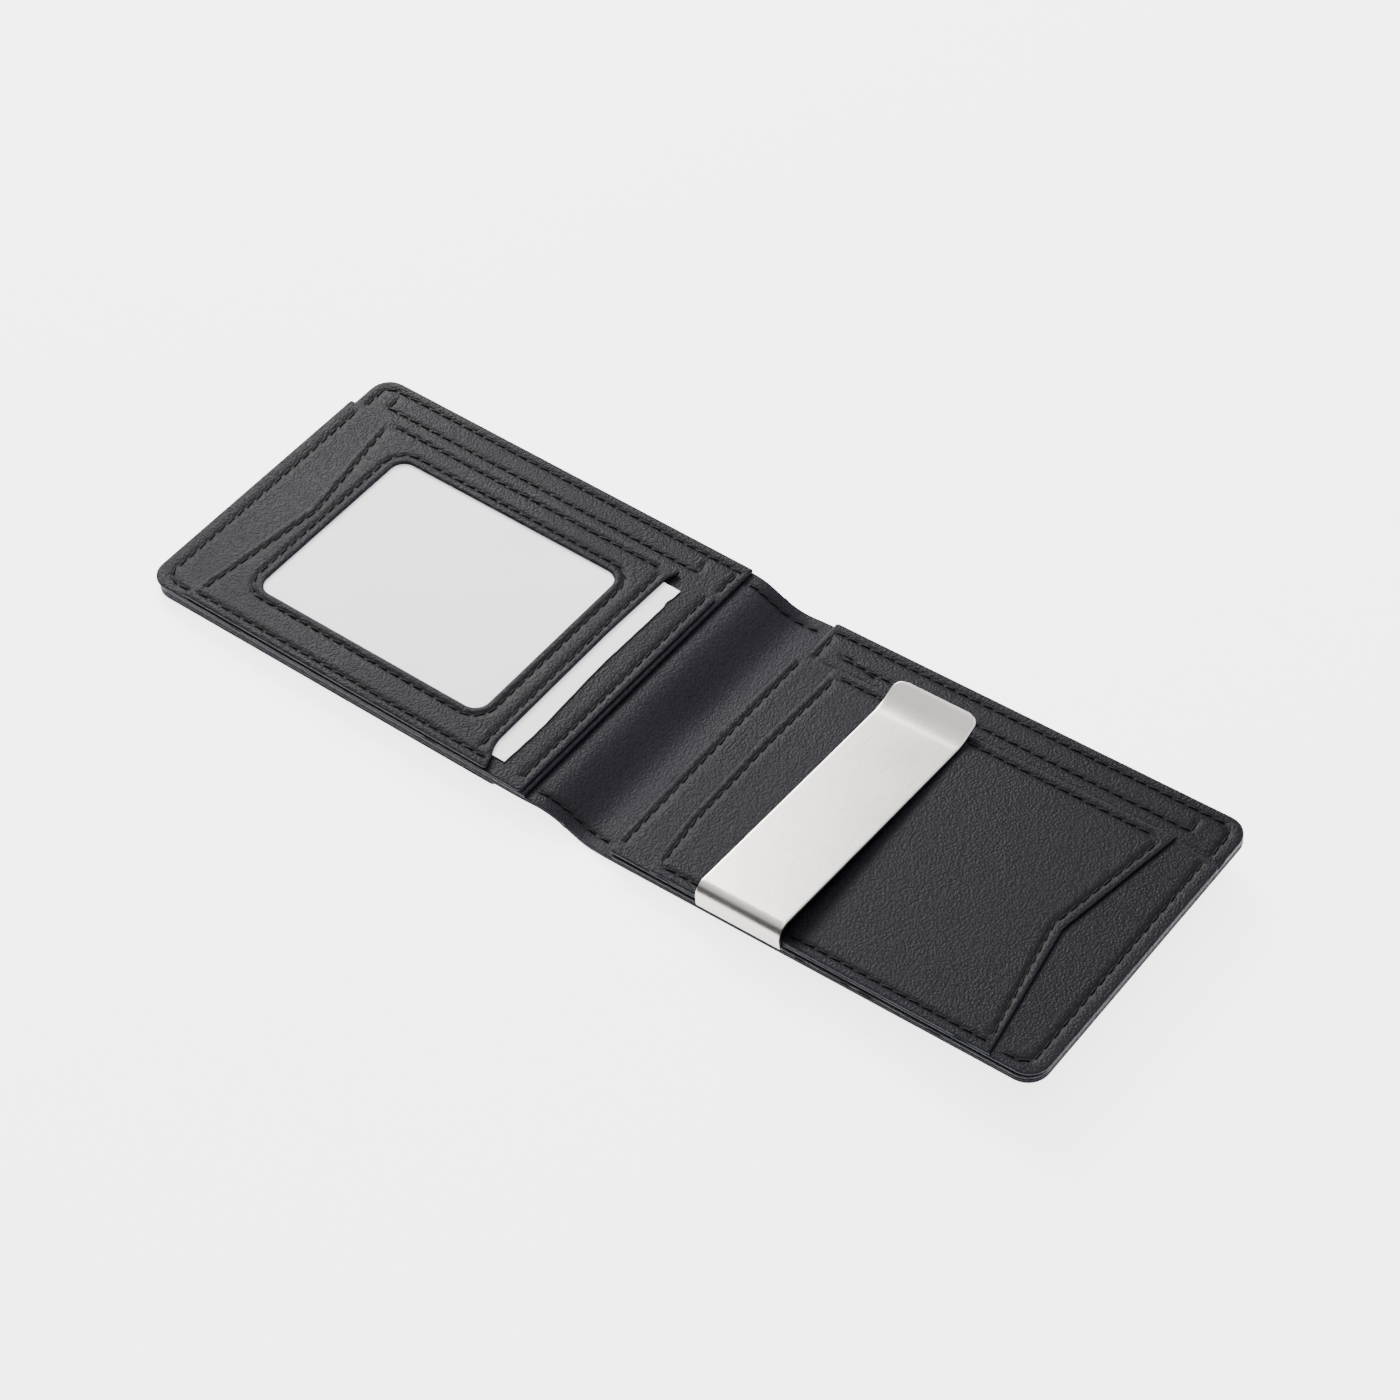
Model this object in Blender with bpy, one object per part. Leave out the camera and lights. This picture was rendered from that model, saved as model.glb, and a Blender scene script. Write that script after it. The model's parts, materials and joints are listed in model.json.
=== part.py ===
"""Slim bifold wallet with a window pocket and a steel money clip, lying open.

Left panel, spine and right panel are stacks of leather sheets.  The left panel leans up
towards the spine, the spine drops to the table, and the right panel leans up from there.
Each panel is laid out in its own tilted frame: x from the frame's origin along the
wallet, y from the front edge to the back edge, h up through the stack.  All sizes in mm.
"""
import math

import bmesh
import bpy
from mathutils import Vector

MM = 0.001

# Overall size and pose
DEPTH = 80.0
LEFT_END_X = -119.0
LEFT_LENGTH = 105.0
LEFT_TILT = 1.4
RIGHT_START_X = 2.7
RIGHT_LENGTH = 110.5
RIGHT_TILT = 4.0
CORNER = 5.0

# Fold axes, in the world's x and z
LEFT_FOLD = (-11.6, 5.2)
RIGHT_FOLD = (2.6, 2.0)
SPINE_DEPTH = 78.6
SPINE_START_X = -11.7
SPINE_FLAT_X = -2.5
SPINE_END_X = 2.45

# Layers of the left panel: (low, high) above the panel's underside
QUICK_POCKET = (0.0, 0.6)
LEFT_SHELL = (0.7, 1.35)
LEFT_LINING = (1.45, 1.8)
LEFT_BOARD = (1.9, 2.1)
LEFT_BASE = (2.2, 2.8)
LEFT_SLOT = (2.9, 3.4)
INSERT = (3.7, 3.85)
FILM = (3.95, 4.05)
FRAME = (4.15, 4.7)

# Layers of the right panel
RIGHT_SHELL = (0.0, 0.7)
RIGHT_LINING = (0.8, 1.3)
RIGHT_BASE = (1.4, 2.15)
RIGHT_BOARD = (2.25, 2.95)
RIGHT_SLOT = (3.05, 3.55)
RIGHT_FRONT = (3.65, 4.2)

# Edges of the left panel's layers
QUICK_POCKET_END = 97.0
SHELL_END = 107.0
SLOT_END = 103.8
SLOT_BACK = 68.6
FRAME_EDGE = 92.0
FRAME_FLARE = 3.0
THUMB_DEPTH = 4.6
THUMB_MOUTH = 10.1
THUMB_Y = 36.0
POCKET_BACK = 68.9
WINDOW = (21.6, 83.8, 11.1, 60.0)
WINDOW_CORNER = 3.5
BOARD_MARGIN = 5.0
INSERT_EDGES = (18.0, 96.4, 4.2, 64.7)

# Edges of the right panel's layers
RIGHT_SHELL_START = 0.1
RIGHT_BASE_START = 5.9
RIGHT_SLOT_START = 4.3
RIGHT_SLOT_BACK = 67.6
RIGHT_FRONT_START = 13.6
RIGHT_FRONT_BACK = 67.6
RIGHT_THUMB_MOUTH = 99.8
RIGHT_THUMB_DEPTH = 5.6
RIGHT_THUMB_Y = 34.5

# Money clip, seen along x: y from the front edge, h above the right panel's underside
CLIP_X = (28.9, 49.9)
CLIP_STEEL = 0.75
CLIP_TAIL_Y = 45.0
CLIP_TAIL_H = 2.6
CLIP_WALL_Y = -0.85
CLIP_HEEL_RADIUS = 0.9
CLIP_BEND_RADIUS = 2.6
CLIP_TOP_H = 8.0
CLIP_ARM_RUN = 20.0
CLIP_ARM_H = (6.95, 5.88)
CLIP_KINK = (63.5, 4.65)
CLIP_KINK_RUN = 1.5
CLIP_KINK_RISE = (0.12, 0.45)
CLIP_LIP = (70.3, 7.4)
CLIP_JOINT_GAP = 0.3
CLIP_LIP_CORNER = 2.5
CLIP_NOTCH = 0.4

# Seams
SEAM_INSET = 2.5
THREAD_WIDTH = 0.5
THREAD_HEIGHT = 0.2
THREAD_LIFT = 0.05
STRIP_SEAM_Y = 72.2
WINDOW_SEAM_INSET = 2.2

LEATHER = (0.018, 0.019, 0.022)
MATERIALS = {
    "leather": (LEATHER, 0.55, 0.0),
    "lining_leather": ((0.024, 0.025, 0.029), 0.62, 0.0),
    "thread": ((0.008, 0.008, 0.009), 0.7, 0.0),
    "steel": ((0.56, 0.54, 0.51), 0.32, 1.0),
    "board": ((0.16, 0.15, 0.13), 0.85, 0.0),
    "film": ((0.80, 0.82, 0.84), 0.12, 0.0),
    "paper": ((0.86, 0.86, 0.84), 0.7, 0.0),
}


def clear_scene():
    for item in list(bpy.data.objects):
        bpy.data.objects.remove(item, do_unlink=True)


def make_material(name):
    colour, roughness, metallic = MATERIALS[name]
    material = bpy.data.materials.new(name)
    material.use_nodes = True
    shader = material.node_tree.nodes["Principled BSDF"]
    shader.inputs["Base Color"].default_value = (*colour, 1.0)
    shader.inputs["Roughness"].default_value = roughness
    shader.inputs["Metallic"].default_value = metallic
    return material


def make_empty(name, location, tilt=0.0, parent=None):
    """An empty that carries a body; its origin is on the body's joint axis."""
    empty = bpy.data.objects.new(name, None)
    empty.location = Vector(location) * MM
    empty.rotation_euler = (0.0, -math.radians(tilt), 0.0)
    empty.parent = parent
    bpy.context.collection.objects.link(empty)
    return empty


def add_object(name, bm, carrier, offset, material):
    bmesh.ops.recalc_face_normals(bm, faces=bm.faces)
    mesh = bpy.data.meshes.new(name)
    bm.to_mesh(mesh)
    bm.free()
    mesh.materials.append(material)
    item = bpy.data.objects.new(name, mesh)
    item.parent = carrier
    item.location = Vector(offset) * MM
    bpy.context.collection.objects.link(item)
    return item


def prism(loops, place, span):
    """Fill the loops, holes left open, and extrude the face along span (mm)."""
    bm = bmesh.new()
    edges = []
    for loop in loops:
        verts = [bm.verts.new(place(u, v) * MM) for u, v in loop]
        for first, second in zip(verts, verts[1:] + verts[:1]):
            edges.append(bm.edges.new((first, second)))
    filled = bmesh.ops.triangle_fill(bm, use_beauty=True, edges=edges)
    faces = [f for f in filled["geom"] if isinstance(f, bmesh.types.BMFace)]
    grown = bmesh.ops.extrude_face_region(bm, geom=faces)
    moved = [v for v in grown["geom"] if isinstance(v, bmesh.types.BMVert)]
    bmesh.ops.translate(bm, verts=moved, vec=Vector(span) * MM)
    return bm


def sheet(loops, layer):
    """A flat layer: loops of (x, y) points, from the layer's low to its high face."""
    low, high = layer
    return prism(loops, lambda x, y: Vector((x, y - DEPTH / 2, low)), (0, 0, high - low))


def along_y(section, depth):
    """A section of (x, h) points, centred on the wallet's mid depth."""
    return prism([section], lambda x, h: Vector((x, -depth / 2, h)), (0, depth, 0))


def along_x(section, start, end):
    """A section of (y, h) points, from x = start to x = end."""
    return prism([section], lambda y, h: Vector((start, y - DEPTH / 2, h)), (end - start, 0, 0))


def rounded(corners, steps=6):
    """A closed outline from (x, y, radius) corners, each corner turned into an arc."""
    outline = []
    count = len(corners)
    for i, (x, y, radius) in enumerate(corners):
        here = Vector((x, y))
        if radius == 0:
            outline.append((x, y))
            continue
        before = (Vector(corners[i - 1][:2]) - here).normalized()
        after = (Vector(corners[(i + 1) % count][:2]) - here).normalized()
        half = before.angle(after) / 2
        reach = radius / math.tan(half)
        centre = here + (before + after).normalized() * (radius / math.sin(half))
        start = here + before * reach - centre
        turn = start.angle_signed(here + after * reach - centre)
        for step in range(steps + 1):
            angle = -turn * step / steps
            across = Vector((-start.y, start.x))
            point = centre + start * math.cos(angle) + across * math.sin(angle)
            outline.append((point.x, point.y))
    return outline


def offset_line(line, distance, closed=False):
    """The line moved sideways by distance, to the left of its direction, with mitres."""
    points = [Vector(p) for p in line]
    count = len(points)
    moved = []
    for i, point in enumerate(points):
        ahead = points[(i + 1) % count] if closed or i < count - 1 else None
        behind = points[i - 1] if closed or i > 0 else None
        ways = []
        if behind is not None:
            ways.append((point - behind).normalized())
        if ahead is not None:
            ways.append((ahead - point).normalized())
        normals = [Vector((-way.y, way.x)) for way in ways]
        mitre = sum(normals, Vector((0.0, 0.0))).normalized()
        moved.append(tuple(point + mitre * (distance / mitre.dot(normals[0]))))
    return moved


def ribbon(line, width, closed=False):
    """The loops of a band of even width along a line."""
    left = offset_line(line, width / 2, closed)
    right = offset_line(line, -width / 2, closed)
    if closed:
        return [left, right]
    return [left + right[::-1]]


def arc(centre, radius, start, end, steps):
    """Points on an arc, with angles in degrees, both ends included."""
    points = []
    for step in range(steps + 1):
        angle = math.radians(start + (end - start) * step / steps)
        points.append((centre[0] + radius * math.cos(angle),
                       centre[1] + radius * math.sin(angle)))
    return points


def rectangle(x0, x1, y0, y1, radius=0.0):
    return rounded([(x0, y0, radius), (x1, y0, radius), (x1, y1, radius), (x0, y1, radius)])


def chevron(mouth, depth, middle, back):
    """A thumb cut's edge, from the front edge to the back edge of its panel."""
    return [(mouth, 0.0, 0.0), (mouth + depth, middle, 6.0), (mouth, back, 0.0)]


def spine_height(x):
    """Height of the spine's underside: level with the left shell, then down to the table."""
    start_h = LEFT_SHELL[0] + math.tan(math.radians(LEFT_TILT)) * (SPINE_START_X - LEFT_END_X)
    t = min(max((x - SPINE_START_X) / (SPINE_FLAT_X - SPINE_START_X), 0.0), 1.0)
    return start_h * (1.0 - t * t * (3.0 - 2.0 * t))


def spine_line(rise, steps=10):
    """The spine's curve from the left fold to the right fold, rise mm above its underside."""
    run = SPINE_FLAT_X - SPINE_START_X
    xs = [SPINE_START_X + run * i / steps for i in range(steps + 1)] + [SPINE_END_X]
    return [(x, spine_height(x) + rise) for x in xs]


def spine_section(low, high):
    return spine_line(low) + spine_line(high)[::-1]


def clip_lower_line():
    """The clip's tail, heel and most of its bend, in the middle of the steel."""
    heel = (CLIP_WALL_Y + CLIP_HEEL_RADIUS, CLIP_TAIL_H + CLIP_HEEL_RADIUS)
    bend = (CLIP_WALL_Y + CLIP_BEND_RADIUS, CLIP_TOP_H - CLIP_BEND_RADIUS)
    line = [(CLIP_TAIL_Y, CLIP_TAIL_H)]
    line += arc(heel, CLIP_HEEL_RADIUS, 270, 180, 5)
    line += arc(bend, CLIP_BEND_RADIUS, 180, 90, 9)
    return line


def clip_upper_line():
    """The sprung arm from the top of the bend to its flared lip."""
    start = (CLIP_WALL_Y + CLIP_BEND_RADIUS + CLIP_JOINT_GAP, CLIP_TOP_H)
    arm = [(start[0] + CLIP_ARM_RUN * i, height) for i, height in enumerate(CLIP_ARM_H, 1)]
    near = (CLIP_KINK[0] - CLIP_KINK_RUN, CLIP_KINK[1] + CLIP_KINK_RISE[0])
    far = (CLIP_KINK[0] + CLIP_KINK_RUN, CLIP_KINK[1] + CLIP_KINK_RISE[1])
    return [start] + arm + [near, CLIP_KINK, far, CLIP_LIP]


def build_left(frame, materials):
    leather = materials["leather"]
    outer = [(LEFT_LENGTH, 0.0, 0.0), (LEFT_LENGTH, DEPTH, 0.0),
             (0.0, DEPTH, CORNER), (0.0, 0.0, CORNER)]
    shell = [(SHELL_END, 0.0, 0.0), (SHELL_END, DEPTH, 0.0)] + outer[2:]
    pocket = [(QUICK_POCKET_END, 0.0, 1.5), (QUICK_POCKET_END, DEPTH, 1.5)] + outer[2:]
    slot = [(0.0, 0.0, CORNER), (SLOT_END, 0.0, 1.0), (SLOT_END, SLOT_BACK - 1.0, 1.0),
            (SLOT_END - 11.0, SLOT_BACK, 0.0), (0.0, SLOT_BACK, 0.0)]
    flare = FRAME_EDGE + FRAME_FLARE
    frame_outline = rounded([(flare, 0.0, 1.0), (FRAME_EDGE, 7.0, 8.0),
                             (FRAME_EDGE, POCKET_BACK - 4.0, 4.0), (FRAME_EDGE + 1.5, POCKET_BACK, 1.0)]
                            + chevron(THUMB_MOUTH, THUMB_DEPTH, THUMB_Y, POCKET_BACK)[::-1])
    window = rectangle(*WINDOW, WINDOW_CORNER)
    film = rectangle(WINDOW[0] - 4.0, WINDOW[1] + 4.0, WINDOW[2] - 4.0, WINDOW[3] + 4.0, 1.0)
    insert = rectangle(*INSERT_EDGES, 1.0)
    board = rectangle(BOARD_MARGIN, LEFT_LENGTH - BOARD_MARGIN, BOARD_MARGIN, DEPTH - BOARD_MARGIN, 2.0)
    pieces = (
        ("quick_pocket", [rounded(pocket)], QUICK_POCKET, leather),
        ("outer_shell_left", [rounded(shell)], LEFT_SHELL, leather),
        ("lining_left", [rounded(shell)], LEFT_LINING, materials["lining_leather"]),
        ("left_board", [board], LEFT_BOARD, materials["board"]),
        ("left_base_panel", [rounded(outer)], LEFT_BASE, leather),
        ("left_slot_panel", [rounded(slot)], LEFT_SLOT, leather),
        ("window_film", [film], FILM, materials["film"]),
        ("window_frame_panel", [frame_outline, window], FRAME, leather),
        ("paper_insert", [insert], INSERT, materials["paper"]),
    )
    for name, loops, layer, material in pieces:
        add_object(name, sheet(loops, layer), frame, (0, 0, 0), material)


def build_left_seams(frame, thread):
    back = DEPTH - SEAM_INSET
    pocket_seam_y = POCKET_BACK - 2.0
    frame_seam_x = FRAME_EDGE - 1.7
    thumb = THUMB_MOUTH + 2.3
    reach = WINDOW_SEAM_INSET
    around = rectangle(WINDOW[0] - reach, WINDOW[1] + reach, WINDOW[2] - reach, WINDOW[3] + reach,
                       WINDOW_CORNER + reach)
    base_top = LEFT_BASE[1]
    slot_top = LEFT_SLOT[1]
    frame_top = FRAME[1]
    seams = (
        ("seam_left_back", base_top, [(LEFT_LENGTH - 2, back), (5.0, back), (3.0, back - 2.0), (2.8, 70.0)]),
        ("seam_left_end", slot_top, [(2.8, 67.6), (2.8, 4.5), (4.8, 2.4), (9.0, 2.3)]),
        ("seam_left_front", frame_top, [(12.0, 2.2), (92.5, 2.2)]),
        ("seam_left_strip", base_top, [(7.5, STRIP_SEAM_Y), (95.5, STRIP_SEAM_Y)]),
        ("seam_left_pocket_back", frame_top, [(15.0, pocket_seam_y), (88.0, pocket_seam_y)]),
        ("seam_left_thumb_cut", frame_top, [(thumb, 4.0), (thumb + THUMB_DEPTH, THUMB_Y), (thumb, 65.5)]),
        ("seam_window_frame_edge", frame_top, [(frame_seam_x, 4.0), (frame_seam_x, 64.5)]),
        ("seam_left_slot_edge", slot_top, [(SLOT_END - 2.0, 3.0), (SLOT_END - 2.0, 65.5)]),
        ("seam_left_base_edge", base_top, [(LEFT_LENGTH - 2.2, 70.5), (LEFT_LENGTH - 2.2, 76.0)]),
    )
    for name, top, line in seams:
        add_seam(name, ribbon(line, THREAD_WIDTH), top, frame, (0, 0, 0), thread)
    add_seam("seam_window", ribbon(around, THREAD_WIDTH, closed=True), frame_top, frame, (0, 0, 0), thread)


def add_seam(name, loops, top, carrier, offset, thread):
    layer = (top + THREAD_LIFT, top + THREAD_LIFT + THREAD_HEIGHT)
    add_object(name, sheet(loops, layer), carrier, offset, thread)


def build_spine(carrier, materials):
    offset = (-LEFT_FOLD[0], 0.0, -LEFT_FOLD[1])
    layers = (("outer_shell_spine", LEFT_SHELL, "leather"), ("lining_spine", LEFT_LINING, "lining_leather"))
    for name, layer, material in layers:
        low = layer[0] - LEFT_SHELL[0]
        high = layer[1] - LEFT_SHELL[0]
        add_object(name, along_y(spine_section(low, high), SPINE_DEPTH), carrier, offset, materials[material])
    top = LEFT_LINING[1] - LEFT_SHELL[0] + THREAD_LIFT
    for name, side in (("seam_spine_front", -1.0), ("seam_spine_back", 1.0)):
        middle = side * (SPINE_DEPTH / 2 - SEAM_INSET)
        bm = along_y(spine_section(top, top + THREAD_HEIGHT), THREAD_WIDTH)
        bmesh.ops.translate(bm, verts=bm.verts, vec=Vector((0.0, middle, 0.0)) * MM)
        add_object(name, bm, carrier, offset, materials["thread"])


def build_right(carrier, offset, materials):
    leather = materials["leather"]
    end = [(RIGHT_LENGTH, 0.0, CORNER), (RIGHT_LENGTH, DEPTH, CORNER)]
    shell = end + [(RIGHT_SHELL_START, DEPTH, 0.0), (RIGHT_SHELL_START, 0.0, 0.0)]
    base = end + [(RIGHT_BASE_START, DEPTH, 0.0), (RIGHT_BASE_START, 0.0, 0.0)]
    slot = [(RIGHT_LENGTH, 0.0, CORNER), (RIGHT_LENGTH, RIGHT_SLOT_BACK, 0.0),
            (RIGHT_SLOT_START, RIGHT_SLOT_BACK, 1.0), (RIGHT_SLOT_START, 0.0, 1.0)]
    cut = chevron(RIGHT_THUMB_MOUTH, -RIGHT_THUMB_DEPTH, RIGHT_THUMB_Y, RIGHT_FRONT_BACK)
    front = cut + [(RIGHT_FRONT_START + 0.6, RIGHT_FRONT_BACK, 1.0), (RIGHT_FRONT_START - 0.2, 42.0, 8.0),
                   (RIGHT_FRONT_START + 0.4, 15.0, 8.0), (RIGHT_FRONT_START + 2.2, 0.0, 1.0)]
    notch_start = CLIP_X[0] - CLIP_NOTCH
    notch_end = CLIP_X[1] + CLIP_NOTCH
    notch_back = CLIP_TAIL_Y + CLIP_NOTCH
    near = BOARD_MARGIN
    far = RIGHT_SLOT_BACK - BOARD_MARGIN
    board = [(RIGHT_BASE_START + near, near), (notch_start, near), (notch_start, notch_back),
             (notch_end, notch_back), (notch_end, near), (RIGHT_LENGTH - near, near),
             (RIGHT_LENGTH - near, far), (RIGHT_BASE_START + near, far)]
    pieces = (
        ("outer_shell_right", rounded(shell), RIGHT_SHELL, leather),
        ("lining_right", rounded(shell), RIGHT_LINING, materials["lining_leather"]),
        ("right_base_panel", rounded(base), RIGHT_BASE, leather),
        ("right_board", board, RIGHT_BOARD, materials["board"]),
        ("right_slot_panel", rounded(slot), RIGHT_SLOT, leather),
        ("right_front_panel", rounded(front), RIGHT_FRONT, leather),
    )
    for name, loop, layer, material in pieces:
        add_object(name, sheet([loop], layer), carrier, offset, material)


def build_right_seams(carrier, offset, thread):
    back = DEPTH - SEAM_INSET
    end_x = RIGHT_LENGTH - 2.9
    pocket_seam_y = RIGHT_FRONT_BACK - 2.0
    edge = RIGHT_FRONT_START + 2.0
    thumb = RIGHT_THUMB_MOUTH - 2.2
    base_top = RIGHT_BASE[1]
    slot_top = RIGHT_SLOT[1]
    front_top = RIGHT_FRONT[1]
    seams = (
        ("seam_right_back", base_top, [(RIGHT_BASE_START + 1.5, back), (end_x - 2.2, back),
                                       (end_x, back - 2.2), (end_x, 69.0)]),
        ("seam_right_end", slot_top, [(end_x, 66.0), (end_x, 4.6), (end_x - 2.2, 2.4), (101.5, 2.4)]),
        ("seam_right_front", front_top, [(18.5, 2.4), (97.5, 2.4)]),
        ("seam_right_strip", base_top, [(13.3, STRIP_SEAM_Y - 0.3), (100.5, STRIP_SEAM_Y - 0.3)]),
        ("seam_right_pocket_back", front_top, [(17.5, pocket_seam_y), (95.0, pocket_seam_y)]),
        ("seam_right_thumb_cut", front_top, [(thumb, 4.5), (thumb - RIGHT_THUMB_DEPTH, RIGHT_THUMB_Y),
                                             (thumb, 64.0)]),
        ("seam_right_front_edge", front_top, [(edge + 1.2, 4.0), (edge, 30.0), (edge, 64.0)]),
        ("seam_right_slot_edge", slot_top, [(RIGHT_SLOT_START + 2.3, 3.0), (RIGHT_SLOT_START + 2.3, 65.0)]),
        ("seam_right_base_edge", base_top, [(RIGHT_BASE_START + 1.8, 69.5), (RIGHT_BASE_START + 1.8, 76.0)]),
    )
    for name, top, line in seams:
        add_seam(name, ribbon(line, THREAD_WIDTH), top, carrier, offset, thread)


def build_clip(carrier, offset, flex, steel):
    tail = ribbon(clip_lower_line(), CLIP_STEEL)[0]
    add_object("clip_base", along_x(tail, *CLIP_X), carrier, offset, steel)
    arm = along_x(ribbon(clip_upper_line(), CLIP_STEEL)[0], *CLIP_X)
    lip_y = (CLIP_LIP[0] - DEPTH / 2 - 1.0) * MM
    corners = [edge for edge in arm.edges
               if all(vert.co.y > lip_y for vert in edge.verts)
               and abs(edge.verts[0].co.x - edge.verts[1].co.x) < 0.1 * MM]
    bmesh.ops.bevel(arm, geom=corners, offset=CLIP_LIP_CORNER * MM, segments=5, profile=0.5,
                    affect="EDGES")
    axis_y = CLIP_WALL_Y + CLIP_BEND_RADIUS - DEPTH / 2
    add_object("clip_arm", arm, flex, (0.0, -axis_y, -CLIP_TOP_H), steel)


def build():
    clear_scene()
    materials = {name: make_material(name) for name in MATERIALS}
    left = make_empty("left_panel", (LEFT_END_X, 0.0, 0.0), LEFT_TILT)
    build_left(left, materials)
    build_left_seams(left, materials["thread"])

    left_fold = make_empty("left_fold", (LEFT_FOLD[0], 0.0, LEFT_FOLD[1]))
    build_spine(left_fold, materials)

    right_fold = make_empty("right_fold", (RIGHT_FOLD[0], 0.0, RIGHT_FOLD[1]), RIGHT_TILT)
    tilt = math.radians(RIGHT_TILT)
    back_x = RIGHT_START_X - RIGHT_FOLD[0]
    back_z = -RIGHT_FOLD[1]
    offset = (back_x * math.cos(tilt) + back_z * math.sin(tilt), 0.0,
              back_z * math.cos(tilt) - back_x * math.sin(tilt))
    build_right(right_fold, offset, materials)
    build_right_seams(right_fold, offset, materials["thread"])

    axis_y = CLIP_WALL_Y + CLIP_BEND_RADIUS - DEPTH / 2
    flex = make_empty("clip_flex", (offset[0], axis_y, offset[2] + CLIP_TOP_H), parent=right_fold)
    build_clip(right_fold, offset, flex, materials["steel"])


build()
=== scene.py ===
"""Looks of the open bifold wallet: leather, stitching, steel clip, window and paper.

Each panel is laid out in its own tilted frame, in mm: x along the wallet from the panel's
origin, y from the front edge to the back edge, h up through the stack of layers.
"""
import json
import math

import bpy
import numpy as np
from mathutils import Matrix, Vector
from mathutils.geometry import delaunay_2d_cdt


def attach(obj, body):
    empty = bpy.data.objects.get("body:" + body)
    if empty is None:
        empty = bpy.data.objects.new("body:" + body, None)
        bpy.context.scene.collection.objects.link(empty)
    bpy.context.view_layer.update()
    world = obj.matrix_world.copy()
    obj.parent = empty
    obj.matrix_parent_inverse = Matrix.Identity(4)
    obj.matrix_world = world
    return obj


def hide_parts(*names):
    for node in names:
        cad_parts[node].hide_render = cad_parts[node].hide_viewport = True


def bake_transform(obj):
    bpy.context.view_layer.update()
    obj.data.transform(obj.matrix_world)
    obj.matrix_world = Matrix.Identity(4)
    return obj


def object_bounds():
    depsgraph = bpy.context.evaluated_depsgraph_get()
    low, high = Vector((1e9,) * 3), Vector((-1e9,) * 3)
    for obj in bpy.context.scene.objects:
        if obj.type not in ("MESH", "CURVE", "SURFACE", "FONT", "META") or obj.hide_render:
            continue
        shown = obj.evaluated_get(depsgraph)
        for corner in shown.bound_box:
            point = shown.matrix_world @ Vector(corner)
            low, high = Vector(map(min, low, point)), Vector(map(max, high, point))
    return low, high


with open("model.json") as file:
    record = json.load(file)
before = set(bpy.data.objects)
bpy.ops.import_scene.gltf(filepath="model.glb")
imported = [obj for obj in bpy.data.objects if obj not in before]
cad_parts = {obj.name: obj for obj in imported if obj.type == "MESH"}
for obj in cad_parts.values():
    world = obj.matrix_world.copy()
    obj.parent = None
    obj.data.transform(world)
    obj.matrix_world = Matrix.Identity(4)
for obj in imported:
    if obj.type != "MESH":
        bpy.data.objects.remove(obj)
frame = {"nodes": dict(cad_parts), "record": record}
CAD_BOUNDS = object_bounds()

MM = 0.001
DEPTH = 80.0
LEFT_MOUNT_X = 50.0
RIGHT_MOUNT_X = 60.0

LEFT_LENGTH = 105.0
RIGHT_LENGTH = 110.5
CORNER = 5.0

# Layers: (low, high) above the underside of their panel
QUICK_POCKET = (0.0, 0.62)
LEFT_SHELL = (0.7, 1.38)
LEFT_LINING = (1.44, 1.85)
LEFT_BASE = (2.0, 2.85)
LEFT_SLOT = (2.9, 3.45)
INSERT = (3.7, 3.84)
FILM = (3.95, 4.05)
FRAME = (4.12, 4.72)
RIGHT_SHELL = (0.0, 0.72)
RIGHT_BASE = (1.4, 2.15)
RIGHT_HEM = 2.75
RIGHT_SLOT = (3.0, 3.6)
RIGHT_FRONT = (3.64, 4.25)

QUICK_POCKET_END = 97.0
SLOT_END = 104.0
SLOT_BACK = 68.7
SLOT_PROUD = 0.7
FRAME_EDGE = 92.0
POCKET_BACK = 69.0
THUMB_MOUTH = 10.2
THUMB_DEPTH = 4.6
THUMB_Y = 36.0
WINDOW = (21.6, 83.8, 11.1, 60.0)
WINDOW_CORNER = 3.5
INSERT_BOX = (18.0, 96.4, 4.2, 64.7)

RIGHT_BASE_START = 5.9
RIGHT_SLOT_START = 4.3
RIGHT_BACK = 67.7
RIGHT_FRONT_START = 13.6
RIGHT_THUMB_MOUTH = 99.8
RIGHT_THUMB_DEPTH = 5.6
RIGHT_THUMB_Y = 34.5

SPINE_START_X = -11.7
SPINE_FLAT_X = 1.6
SPINE_CUT_X = -4.5
SPINE_NARROW = 0.7

SEAM_INSET = 2.4
SPINE_SEAM_Y = {"front": 3.2, "back": DEPTH - 3.2}
PITCH = 3.2
STITCH = 2.5
THREAD = 0.19
THREAD_SINK = 0.04
STITCH_SLANT = 0.10

# Leather relief: (height or depth, half width), and where it lies
GROOVE = (0.13, 0.55)
HOLE = (0.14, 0.45)
HOLE_REACH = 0.15
RIDGE = (0.07, 0.6)
RIDGE_FROM_EDGE = 1.0
RIDGE_FROM_SEAM = 1.3
UNDER_GROOVE = (0.3, 0.5)
# Width of the band beside seams where the grain is pressed flatter and a painted shade darkens the leather
PRESS_SHADE_WIDTH = 0.8
# Width of the painted highlight along rolled edges
EDGE_HIGHLIGHT_WIDTH = 0.75
SWELL_WIDTH = 5.0
HEM_STEP = 0.8
THINNEST = 0.05

# Leather meshing: rows of vertices beside an edge (in edge radii) and beside a seam (mm)
OUTLINE_STEP = 1.1
EDGE_ROWS = (0.12, 0.45, 1.0, 2.2)
EDGE_CLEAR = 2.6
SEAM_ROWS = (-0.9, -0.42, 0.0, 0.42, 0.9)
SEAM_CLEAR = 1.3

CAMERA_TARGET = (-0.0036, 0.0066, 0.0)
CAMERA_AWAY = (0.3949, -0.5236, 0.7549)
CAMERA_DISTANCE = 0.829
LENS = 99.8
SENSOR = 36.0

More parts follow.
